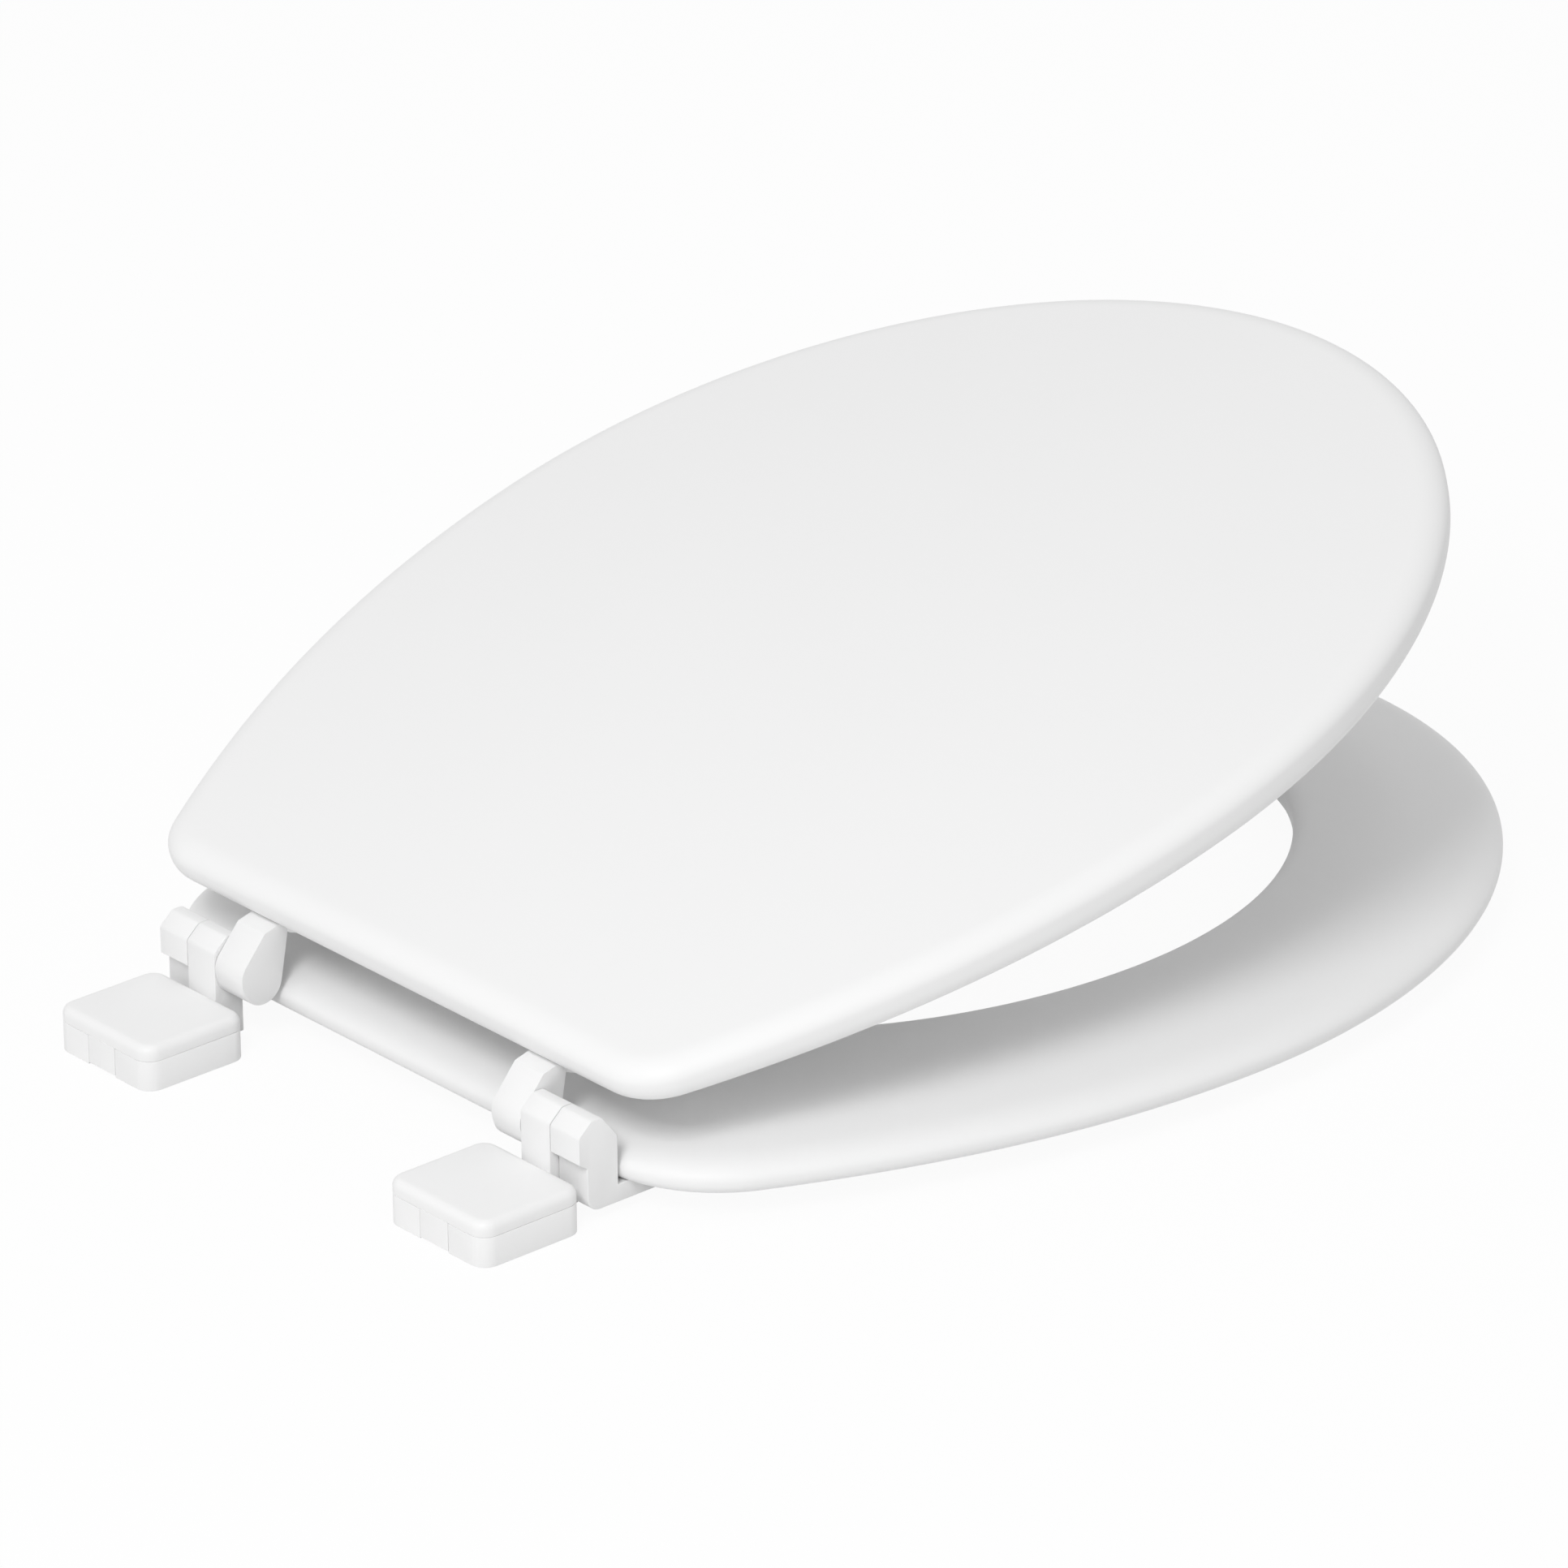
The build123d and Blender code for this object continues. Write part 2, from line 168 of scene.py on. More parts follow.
class LidSizes(PropertyGroup):
    """Sizes of the lid, drawn shut and measured from the hinge axis."""

    half_width: length("Half width", "Half of the lid's greatest width", LID_HIGH[0])
    rear_half: length("Rear half width", "Half width where the sides would meet the rear edge", 0.1244)
    rear: length("Rear edge", "Distance from the hinge axis to the rear edge", LID_LOW[1])
    widest: length("Widest", "Distance from the hinge axis to the greatest width", 0.2203)
    front: length("Front edge", "Distance from the hinge axis to the front edge", LID_HIGH[1])
    corner: length("Rear corner", "Radius of the rear corners", 0.026)
    underside: length("Underside", "Height of the underside over the hinge axis", LID_LOW[2])
    top: length("Top", "Height of the crown over the hinge axis", LID_HIGH[2])
    crown: length("Crown", "Rise of the top from its ends to its middle", 0.0045)
    top_round: length("Top round", "Height of the upper edge's round", 0.0066)
    top_reach: length("Top reach", "How far in the upper edge's round reaches", 0.010)
    low_round: length("Low round", "Height of the lower edge's round", 0.0066)
    low_reach: length("Low reach", "How far in the lower edge's round reaches", 0.005)


class RingSizes(PropertyGroup):
    """Sizes of the seat ring, in the frame."""

    half_width: length("Half width", "Half of the ring's greatest width", RING_HIGH.x)
    rear_half: length("Rear half width", "Half width where the sides would meet the rear edge", 0.1304)
    rear: length("Rear edge", "Place of the rear edge", RING_LOW.y)
    widest: length("Widest", "Place of the greatest width", 0.250)
    front: length("Front edge", "Place of the front edge", RING_HIGH.y)
    corner: length("Rear corner", "Radius of the rear corners", 0.051)
    bottom: length("Bottom", "Height of the underside", RING_LOW.z)
    top: length("Top", "Height of the top", RING_HIGH.z)
    top_round: length("Top round", "Height of the upper outer edge's round", 0.0075)
    top_reach: length("Top reach", "How far in the upper outer edge's round reaches", 0.018)
    low_round: length("Low round", "Radius of the lower outer edge", 0.0042)
    crown_run: length("Crown run", "How far the top's outer slope reaches in from the edge", 0.042)
    crown_drop: length("Crown drop", "How far the top falls to its outer edge", 0.0074)
    crown_blend: length("Crown blend", "How softly the two slopes of the top meet", 0.0006)
    hole_half: length("Hole half width", "Half of the opening's width", 0.1194)
    hole_centre: length("Hole centre", "Place of the opening's greatest width", 0.255)
    hole_front: length("Hole front", "Place of the opening's front end", 0.4022)
    hole_rear: length("Hole rear", "Place of the opening's rear end", 0.0972)
    dish_run: length("Dish run", "How far the dished band reaches out from the opening", 0.029)
    dish_drop: length("Dish drop", "How far the dished band falls", 0.0026)
    lip_round: length("Lip round", "Height of the round on the opening's upper edge", 0.005)
    lip_reach: length("Lip reach", "How far out the opening's upper edge's round reaches", 0.008)
    hole_low_round: length("Hole low round", "Radius of the opening's lower edge", 0.0085)


class HingeSizes(PropertyGroup):
    """Sizes of the hinges' small features."""

    soft_edge: length("Soft edge", "Radius on the moulded plastic's edges", 0.0009)
    buffer_edge: length("Buffer edge", "Radius on the buffers' edges", 0.0003)
    head_radius: length("Screw head", "Radius of a screw's head", 0.0039)
    head_height: length("Head height", "Height of a screw's countersunk head", 0.0022)
    shank_radius: length("Shank radius", "Radius of a screw's shank", 0.0020)
    cross_width: length("Cross width", "Width of the slots in a screw's head", 0.0010)
    cross_depth: length("Cross depth", "Depth of the slots in a screw's head", 0.0012)


class SeatColours(PropertyGroup):
    """Colours of the finishes."""

    enamel: colour("Enamel", "White enamel of the ring and lid", (0.92, 0.92, 0.92))
    plastic: colour("Plastic", "White plastic of the hinges", (0.91, 0.91, 0.91))
    buffer: colour("Buffer", "Soft plastic of the buffers", (0.78, 0.78, 0.77))
    zinc: colour("Zinc", "Plated steel of the screws and pins", (0.62, 0.62, 0.63))
    floor: colour("Floor", "Studio floor", (0.90, 0.90, 0.90))


class StageSettings(PropertyGroup):
    """The camera, the lights and the floor."""

    azimuth: FloatProperty(
        name="Azimuth", description="Camera's turn round the seat", default=radians(49.15), subtype="ANGLE"
    )
    elevation: FloatProperty(
        name="Elevation", description="Camera's height angle", default=radians(24.35), subtype="ANGLE"
    )
    roll: FloatProperty(
        name="Roll", description="Camera's turn about its own line of sight", default=radians(-0.63),
        subtype="ANGLE",
    )
    distance: length("Distance", "Camera's distance from its target", 3.5856)
    target: FloatVectorProperty(
        name="Target", description="Point in the middle of the picture", default=(-0.0151, 0.2173, 0.0557),
        size=3, unit="LENGTH",
    )
    focal_pixels: FloatProperty(
        name="Focal length", description="Focal length in pixels of the full picture", default=13051.5
    )
    world_level: FloatProperty(
        name="World", description="Strength of the even light all round", default=0.55
    )
    key_power: FloatProperty(
        name="Key", description="Power of the lamp above the camera, to its left", default=28.4
    )
    top_power: FloatProperty(
        name="Overhead", description="Power of the lamp overhead", default=4.2
    )
    floor_size: length("Floor size", "Side of the square floor", 12.0)


class Wire:
    """A node's output that Python expressions can be written on."""

    def __init__(self, graph, socket):
        self.graph = graph
        self.socket = socket

    def maths(self, operation, first, second):
        """Adds a Math node for two values."""
        return self.graph.node("ShaderNodeMath", {"operation": operation}, {0: first, 1: second})

    def __add__(self, other):
        return self.maths("ADD", self, other)

    __radd__ = __add__

    def __sub__(self, other):
        return self.maths("SUBTRACT", self, other)

    def __rsub__(self, other):
        return self.maths("SUBTRACT", other, self)

    def __mul__(self, other):
        return self.maths("MULTIPLY", self, other)

    __rmul__ = __mul__


class Graph:
    """A node tree whose nodes are added one call at a time."""

    def __init__(self, tree):
        self.tree = tree
        tree.nodes.clear()

    def node(self, kind, settings=None, inputs=None, output=0):
        """Adds a node, sets its settings and then its sockets, and returns one of its outputs."""
        made = self.tree.nodes.new(kind)
        for name, value in (settings or {}).items():
            setattr(made, name, value)
        for name, value in (inputs or {}).items():
            if isinstance(value, Wire):
                self.tree.links.new(value.socket, made.inputs[name])
            else:
                made.inputs[name].default_value = value
        return Wire(self, made.outputs[output]) if len(made.outputs) else made


def new_graph(name):
    """A material and the graph of its nodes."""
    material = bpy.data.materials.new(name)
    material.use_nodes = True
    return material, Graph(material.node_tree)


def noise(graph, place, scale, detail=2.0):
    """A smooth random value between 0 and 1 at each place."""
    return graph.node(
        "ShaderNodeTexNoise", {}, {"Vector": place, "Scale": scale, "Detail": detail}, "Fac"
    )


def tinted(graph, value, dark, light):
    """A colour between two others."""
    return graph.node(
        "ShaderNodeMix", {"data_type": "RGBA"},
        {"Factor": value, "A": (*dark, 1), "B": (*light, 1)},
        "Result",
    )


def shaded(base, share):
    """A colour made darker by a share."""
    return [channel * (1 - share) for channel in base]


def varied(value, least, spread):
    """A number that rises from a least value with a random one."""
    return value * spread + least


def object_place(graph):
    """Where a point is on its own piece, in metres."""
    return graph.node("ShaderNodeTexCoord", {}, {}, "Object")


def finish_surface(graph, colour_wire, roughness, bump_height, bump_size, fixed):
    """The surface shader and the material's output."""
    normal = graph.node(
        "ShaderNodeBump", {}, {"Strength": 1.0, "Distance": bump_size, "Height": bump_height}
    )
    surface = graph.node(
        "ShaderNodeBsdfPrincipled", {},
        {"Base Color": colour_wire, "Roughness": roughness, "Normal": normal, **fixed},
    )
    graph.node("ShaderNodeOutputMaterial", {}, {"Surface": surface})


def enamel(base):
    """White enamel: a hard satin film with a faint orange-peel and a little wear in its gloss."""
    material, graph = new_graph("white_enamel")
    place = object_place(graph)
    drift = noise(graph, place, scale=9.0)
    film = noise(graph, place, scale=60.0)
    finish_surface(
        graph,
        colour_wire=tinted(graph, drift, dark=shaded(base, share=0.012), light=base),
        roughness=varied(film, least=0.42, spread=0.05),
        bump_height=noise(graph, place, scale=520.0, detail=1.0),
        bump_size=0.00002,
        fixed={"Specular IOR Level": 0.16},
    )
    return material


def moulded_plastic(base):
    """White moulded plastic: a soft gloss with a fine grain from the mould."""
    material, graph = new_graph("white_plastic")
    place = object_place(graph)
    drift = noise(graph, place, scale=40.0)
    grain = noise(graph, place, scale=1800.0)
    finish_surface(
        graph,
        colour_wire=tinted(graph, drift, dark=shaded(base, share=0.015), light=base),
        roughness=varied(grain, least=0.38, spread=0.06),
        bump_height=grain,
        bump_size=0.00001,
        fixed={"Specular IOR Level": 0.22},
    )
    return material


def soft_buffer(base):
    """Soft matt plastic, a little scuffed."""
    material, graph = new_graph("soft_buffer")
    place = object_place(graph)
    scuff = noise(graph, place, scale=160.0, detail=4.0)
    finish_surface(
        graph,
        colour_wire=tinted(graph, scuff, dark=shaded(base, share=0.08), light=base),
        roughness=varied(scuff, least=0.55, spread=0.15),
        bump_height=noise(graph, place, scale=1400.0),
        bump_size=0.00003,
        fixed={"Specular IOR Level": 0.35},
    )
    return material


def plated_steel(base):
    """Zinc-plated steel with a faint haze."""
    material, graph = new_graph("plated_steel")
    place = object_place(graph)
    haze = noise(graph, place, scale=300.0)
    finish_surface(
        graph,
        colour_wire=tinted(graph, haze, dark=shaded(base, share=0.10), light=base),
        roughness=varied(haze, least=0.24, spread=0.12),
        bump_height=noise(graph, place, scale=2600.0),
        bump_size=0.00001,
        fixed={"Metallic": 1.0},
    )
    return material


def finish(name):
    """A finish by name, made the first time it is asked for."""
    made = bpy.data.materials.get(name)
    if made:
        return made
    colours = bpy.context.scene.seat_colours
    makers = {
        "white_enamel": lambda: enamel(colours.enamel),
        "white_plastic": lambda: moulded_plastic(colours.plastic),
        "soft_buffer": lambda: soft_buffer(colours.buffer),
        "plated_steel": lambda: plated_steel(colours.zinc),
    }
    return makers[name]()


def egg_outline(sizes):
    """The closed outline of the ring or lid, from the middle of the rear edge round by the right."""
    steps, few = OUTLINE_STEPS, OUTLINE_STEPS // 3
    half, rear_half, radius = sizes.half_width, sizes.rear_half, sizes.corner
    run = sizes.widest - sizes.rear

    def side(t):
        """A point on the parabolic side and the direction into the piece there."""
        point = np.array([half - (half - rear_half) * (1 - t) ** 2, sizes.rear + run * t])
        inward = np.array([-run, 2 * (half - rear_half) * (1 - t)])
        return point, inward / np.linalg.norm(inward)

    low, high = 0.0, 1.0
    for _ in range(HALVINGS):
        middle = (low + high) / 2
        point, inward = side(middle)
        if (point + radius * inward)[1] < sizes.rear + radius:
            low = middle
        else:
            high = middle
    point, inward = side(low)
    centre = point + radius * inward
    end = np.arctan2(-inward[1], -inward[0])
    turn = np.linspace(-pi / 2, end, few)
    corner = centre + radius * np.column_stack([np.cos(turn), np.sin(turn)])
    edge = np.column_stack([np.linspace(0, corner[0, 0], few)[:-1], np.full(few - 1, sizes.rear)])
    flank = np.array([side(t)[0] for t in np.linspace(low, 1, steps)[1:]])
    sweep = np.linspace(0, pi / 2, steps)[1:]
    nose_run = sizes.front - sizes.widest
    nose = np.column_stack([half * np.cos(sweep), sizes.widest + nose_run * np.sin(sweep)])
    right = np.vstack([edge, corner, flank, nose])
    left = right[1:-1][::-1] * (-1, 1)
    return np.vstack([right, left])


def inward_directions(outline):
    """Unit directions into a closed outline that runs anticlockwise."""
    tangent = np.roll(outline, -1, 0) - np.roll(outline, 1, 0)
    inward = np.column_stack([-tangent[:, 1], tangent[:, 0]])
    return inward / np.linalg.norm(inward, axis=1)[:, None]


def quarter_oval(height, reach, steps):
    """Inset and rise along a quarter of an oval that starts upright and ends level."""
    turn = np.linspace(0, pi / 2, steps)
    return list(zip(reach * (1 - np.cos(turn)), height * np.sin(turn)))


def level_row(plan, height):
    """A row of points: a plan outline set at one height, or at a height for each point."""
    return np.column_stack([plan, np.broadcast_to(height, len(plan))])


def new_piece(name, points, faces, material):
    """A smooth piece with its place in its mesh."""
    mesh = bpy.data.meshes.new(name)
    mesh.from_pydata([tuple(point) for point in points], [], faces)
    mesh.shade_smooth()
    mesh.materials.append(material)
    piece = bpy.data.objects.new(name, mesh)
    bpy.context.scene.collection.objects.link(piece)
    return piece


def band(first, second, count):
    """Faces between two closed rows of points that hold the same number of points."""
    return [
        (first + i, first + (i + 1) % count, second + (i + 1) % count, second + i) for i in range(count)
    ]


def lid_rows(sizes):
    """Rows of points on the lid, from the middle of its underside, round its edge, to its crown."""
    outline = egg_outline(sizes)
    inward = inward_directions(outline)
    middle = np.array([0, (sizes.rear + sizes.front) / 2])
    reach = (sizes.front - sizes.rear) / 2
    radius = (reach**2 + sizes.crown**2) / (2 * sizes.crown)

    def crown_height(plan):
        """Height of the crowned top over a point of the plan."""
        return sizes.top - radius + np.sqrt(radius**2 - ((plan - middle) ** 2).sum(1))

    shrink = np.linspace(FLAT_START, 1, FLAT_ROWS)
    under = outline + inward * sizes.low_reach
    rows = [level_row(middle + (under - middle) * s, sizes.underside) for s in shrink]
    low_edge = sizes.underside + sizes.low_round
    for inset, rise in quarter_oval(sizes.low_round, sizes.low_reach, LID_LOW_ROWS)[::-1][1:]:
        rows.append(level_row(outline + inward * inset, low_edge - rise))
    top = outline + inward * sizes.top_reach
    top_edge = crown_height(top) - sizes.top_round
    for inset, rise in quarter_oval(sizes.top_round, sizes.top_reach, LID_TOP_ROWS):
        rows.append(level_row(outline + inward * inset, top_edge + rise))
    for s in shrink[::-1][1:]:
        plan = middle + (top - middle) * s
        rows.append(level_row(plan, crown_height(plan)))
    centres = [(*middle, sizes.underside), (*middle, sizes.top)]
    return rows, centres


class SEAT_OT_lid(Operator):
    """Make the lid: a crowned board with rounded edges"""

    bl_idname = "seat.lid"
    bl_label = "Lid"

    def execute(self, context):
        rows, centres = lid_rows(context.scene.lid_sizes)
        count = len(rows[0])
        points = lid_to_frame(np.vstack([*rows, centres]))
        faces = [face for k in range(len(rows) - 1) for face in band(k * count, (k + 1) * count, count)]
        low, high = len(points) - 2, len(points) - 1
        last = (len(rows) - 1) * count
        faces += [((i + 1) % count, i, low) for i in range(count)]
        faces += [(last + i, last + (i + 1) % count, high) for i in range(count)]
        piece = new_piece("lid_board", points, faces, finish("white_enamel"))
        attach(piece, "lid")
        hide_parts("lid")
        return {"FINISHED"}


def between(first, second, share):
    """Points part of the way from one row to another."""
    return first + (second - first) * share


def ring_rows(sizes):
    """Rows of points round the ring's section: underside, outer edge, crowned top, lip and opening."""
    outline = egg_outline(sizes)
    inward = inward_directions(outline)
    centre = np.array([0, sizes.hole_centre])
    away = outline - centre
    away = away / np.linalg.norm(away, axis=1)[:, None]
    front_reach = sizes.hole_front - sizes.hole_centre
    rear_reach = sizes.hole_centre - sizes.hole_rear
    reach = np.where(away[:, 1] > 0, front_reach, rear_reach)

    def hole(growth):
        """The opening's outline, widened all round."""
        size = np.column_stack([np.full(len(reach), sizes.hole_half + growth), reach + growth])
        return centre + away / np.linalg.norm(away / size, axis=1)[:, None]

    low, lip, low_lip = sizes.low_round, sizes.lip_round, sizes.hole_low_round
    crown_slope = sizes.crown_drop / sizes.crown_run
    dish_slope = sizes.dish_drop / sizes.dish_run
    edge_end = atan2(sizes.top_round, sizes.top_reach * crown_slope)
    lip_start = atan2(sizes.lip_reach * dish_slope, lip)
    first_inset = sizes.top_reach * (1 - cos(edge_end))
    last_growth = sizes.lip_reach * (1 - sin(lip_start))
    edge_top = sizes.top - sizes.crown_drop + first_inset * crown_slope
    edge_height = edge_top - sizes.top_round * sin(edge_end)
    lip_top = sizes.top - sizes.dish_drop + last_growth * dish_slope
    lip_height = lip_top - lip * cos(lip_start)

    rows = []
    for share in np.linspace(1, 0, RING_UNDER_ROWS)[:-1]:
        rows.append(level_row(between(outline + inward * low, hole(low_lip), share), sizes.bottom))
    for inset, rise in quarter_oval(low, low, RING_LOW_ROWS)[::-1]:
        rows.append(level_row(outline + inward * inset, sizes.bottom + low - rise))
    for turn in np.linspace(0, edge_end, RING_EDGE_ROWS):
        inset = sizes.top_reach * (1 - cos(turn))
        rows.append(level_row(outline + inward * inset, edge_height + sizes.top_round * sin(turn)))
    outer = outline + inward * first_inset
    inner = hole(last_growth)
    width = np.linalg.norm(inner - outer, axis=1)
    for share in np.linspace(0, 1, RING_TOP_ROWS)[1:-1]:
        outside = sizes.crown_drop * (1 - (first_inset + width * share) / sizes.crown_run)
        inside = sizes.dish_drop * (1 - (last_growth + width * (1 - share)) / sizes.dish_run)
        slopes = np.array([outside, inside, np.zeros(len(width))]) / sizes.crown_blend
        drop = np.logaddexp.reduce(slopes) * sizes.crown_blend
        rows.append(level_row(between(outer, inner, share), sizes.top - drop))
    for turn in np.linspace(pi / 2 + lip_start, pi, LIP_ROWS):
        rows.append(level_row(hole(sizes.lip_reach * (1 + cos(turn))), lip_height + lip * sin(turn)))
    for inset, rise in quarter_oval(low_lip, low_lip, HOLE_LOW_ROWS)[:-1]:
        rows.append(level_row(hole(inset), sizes.bottom + low_lip - rise))
    return rows


class SEAT_OT_ring(Operator):
    """Make the seat ring: crowned, rounded outside and dished towards its opening"""

    bl_idname = "seat.ring"
    bl_label = "Seat ring"

    def execute(self, context):
        rows = ring_rows(context.scene.ring_sizes)
        count = len(rows[0])
        faces = []
        for k in range(len(rows)):
            faces += band(k * count, (k + 1) % len(rows) * count, count)
        piece = new_piece("ring_board", np.vstack(rows), faces, finish("white_enamel"))
        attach(piece, "ring")
        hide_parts("seat_ring")
        return {"FINISHED"}


BODY_OF = {
    node: body for body, nodes in frame["record"]["behaviour"]["bodies"].items() for node in nodes
}


def merged_copy(node, name):
    """A copy of a packed piece whose loose triangles are joined, with its flat faces made whole."""
    mesh = frame["nodes"][node].data.copy()
    mesh.name = name
    mesh.materials.clear()
    form = bmesh.new()
    form.from_mesh(mesh)
    bmesh.ops.remove_doubles(form, verts=form.verts, dist=SAME_POINT)
    bmesh.ops.dissolve_limit(form, angle_limit=SAME_FACE, verts=form.verts, edges=form.edges)
    form.to_mesh(mesh)
    form.free()
    piece = bpy.data.objects.new(name, mesh)
    bpy.context.scene.collection.objects.link(piece)
    return piece


def soften(piece, radius, angle):
    """Rounds a piece's sharp edges and shades the rest smooth."""
    piece.data.shade_smooth()
    bevel = piece.modifiers.new("soft_edges", "BEVEL")
    bevel.width = radius
    bevel.segments = ROUND_SEGMENTS
    bevel.limit_method = "ANGLE"
    bevel.angle_limit = angle
    bevel.harden_normals = True
    bevel.use_clamp_overlap = True
    bevel.loop_slide = False


class SEAT_OT_hinges(Operator):
    """Make the hinge posts, the bolt covers and the leaves, with soft moulded edges"""

    bl_idname = "seat.hinges"
    bl_label = "Hinges"

    def execute(self, context):
        radius = context.scene.hinge_sizes.soft_edge
        for kind in ("hinge_post", "bolt_cover", "lid_leaf", "ring_leaf"):
            for side in SIDES:
                node = f"{kind}_{side}"
                piece = merged_copy(node, f"{kind}_moulding_{side}")
                piece.data.materials.append(finish("white_plastic"))
                soften(piece, radius, PLASTIC_EDGE)
                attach(piece, BODY_OF[node])
                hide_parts(node)
        return {"FINISHED"}


class SEAT_OT_pins(Operator):
    """Finish the hinge pins"""

    bl_idname = "seat.pins"
    bl_label = "Hinge pins"

    def execute(self, context):
        for side in SIDES:
            node = frame["nodes"][f"hinge_pin_{side}"]
            node.data.materials.clear()
            node.data.materials.append(finish("plated_steel"))
        return {"FINISHED"}


class SEAT_OT_buffers(Operator):
    """Make the buffers under the ring and the lid"""

    bl_idname = "seat.buffers"
    bl_label = "Buffers"

    def execute(self, context):
        radius = context.scene.hinge_sizes.buffer_edge
        nodes = [f"ring_buffer_{side}_{row}" for side in SIDES for row in ROWS]
        nodes += [f"lid_buffer_{side}" for side in SIDES]
        for node in nodes:
            piece = merged_copy(node, f"{node}_pad")
            piece.data.materials.append(finish("soft_buffer"))
            soften(piece, radius, BUFFER_EDGE)
            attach(piece, BODY_OF[node])
            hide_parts(node)
        return {"FINISHED"}


SCREW_INPUTS = (
    "Head radius", "Head height", "Shank radius", "Length",
    "Cross width", "Cross depth", "Tilt", "Material",
)


def screw_tree():
    """A node tree that sets a cross-headed countersunk screw at each point of a mesh."""
    tree = bpy.data.node_groups.new("wood_screws", "GeometryNodeTree")
    face = tree.interface
    face.new_socket("Geometry", in_out="INPUT", socket_type="NodeSocketGeometry")
    sockets = {}
    for name in SCREW_INPUTS:
        kind = "NodeSocketMaterial" if name == "Material" else "NodeSocketFloat"
        sockets[name] = face.new_socket(name, in_out="INPUT", socket_type=kind).identifier
    face.new_socket("Geometry", in_out="OUTPUT", socket_type="NodeSocketGeometry")
    graph = Graph(tree)
    entry = tree.nodes.new("NodeGroupInput")

    def given(name):
        """One of the tree's named inputs."""
        return Wire(graph, entry.outputs[name])

    def vector(x, y, z):
        """A vector from three values."""
        return graph.node("ShaderNodeCombineXYZ", {}, {"X": x, "Y": y, "Z": z})

    def moved(mesh, height):
        """A mesh moved along the screw."""
        return graph.node(
            "GeometryNodeTransform", {}, {"Geometry": mesh, "Translation": vector(0.0, 0.0, height)}
        )

    head = graph.node(
        "GeometryNodeMeshCone", {},
        {
            "Vertices": HEAD_SIDES,
            "Radius Bottom": given("Head radius"),
            "Radius Top": given("Shank radius"),
            "Depth": given("Head height"),
        },
        "Mesh",
    )
    shank = graph.node(
        "GeometryNodeMeshCylinder", {},
        {
            "Vertices": SHANK_SIDES,
            "Radius": given("Shank radius"),
            "Depth": given("Length") - given("Head height"),
        },
        "Mesh",
    )
    shank = moved(shank, (given("Length") + given("Head height")) * 0.5)
    # A slot's block is centred on the head's face, so half of its depth cuts.
    width = given("Cross width")
    span = given("Head radius") * SLOT_SPAN
    depth = given("Cross depth") * 2.0
    slots = [
        graph.node("GeometryNodeMeshCube", {}, {"Size": size}, "Mesh")
        for size in (vector(width, span, depth), vector(span, width, depth * SECOND_SLOT))
    ]
    cross = graph.node("GeometryNodeMeshBoolean", {"operation": "UNION"})
    for slot in slots:
        tree.links.new(slot.socket, cross.socket.node.inputs["Mesh 2"])
    head = graph.node(
        "GeometryNodeMeshBoolean", {"operation": "DIFFERENCE"}, {"Mesh 1": head, "Mesh 2": cross}
    )
    joined = graph.node("GeometryNodeJoinGeometry")
    tree.links.new(head.socket, joined.socket.node.inputs[0])
    tree.links.new(shank.socket, joined.socket.node.inputs[0])
    placed = graph.node(
        "GeometryNodeInstanceOnPoints", {},
        {"Points": given("Geometry"), "Instance": joined, "Rotation": vector(given("Tilt"), 0.0, 0.0)},
    )
    solid = graph.node("GeometryNodeRealizeInstances", {}, {"Geometry": placed})
    painted = graph.node(
        "GeometryNodeSetMaterial", {}, {"Geometry": solid, "Material": given("Material")}
    )
    graph.node("NodeGroupOutput", {}, {"Geometry": painted})
    return tree, sockets


def screw_row(holder, tilt, tree, sockets, sizes):
    """The screws of one body, made at their nodes' places and turned into a plain mesh."""
    nodes = [f"{holder}_screw_{side}_{row}" for side in SIDES for row in ROWS]
    inward = np.array([0, -sin(tilt), cos(tilt)])
    heads, reach = [], 0.0
    for node in nodes:
        points = node_points(node)
        along = points @ inward
        seat = points[along < along.min() + HEAD_FACE]
        heads.append(tuple((seat.min(0) + seat.max(0)) / 2))
        reach = along.max() - along.min()
    mesh = bpy.data.meshes.new(f"{holder}_screw_places")
    mesh.from_pydata(heads, [], [])
    carrier = bpy.data.objects.new(f"{holder}_screw_places", mesh)
    bpy.context.scene.collection.objects.link(carrier)
    modifier = carrier.modifiers.new("wood_screws", "NODES")
    modifier.node_group = tree
    values = {
        "Head radius": sizes.head_radius,
        "Head height": sizes.head_height,
        "Shank radius": sizes.shank_radius,
        "Length": reach,
        "Cross width": sizes.cross_width,
        "Cross depth": sizes.cross_depth,
        "Tilt": tilt,
        "Material": finish("plated_steel"),
    }
    for name, value in values.items():
        modifier[sockets[name]] = value
    graph = bpy.context.evaluated_depsgraph_get()
    plain = bpy.data.meshes.new_from_object(carrier.evaluated_get(graph))
    bpy.data.objects.remove(carrier)
    piece = bpy.data.objects.new(f"{holder}_screws", plain)
    bpy.context.scene.collection.objects.link(piece)
    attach(piece, holder)
    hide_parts(*nodes)


class SEAT_OT_screws(Operator):
    """Set the wood screws under the lid and under the ring"""

    bl_idname = "seat.screws"
    bl_label = "Screws"

    def execute(self, context):
        tree, sockets = screw_tree()
        screw_row("lid", LID_TILT, tree, sockets, context.scene.hinge_sizes)
        screw_row("ring", 0.0, tree, sockets, context.scene.hinge_sizes)
        return {"FINISHED"}


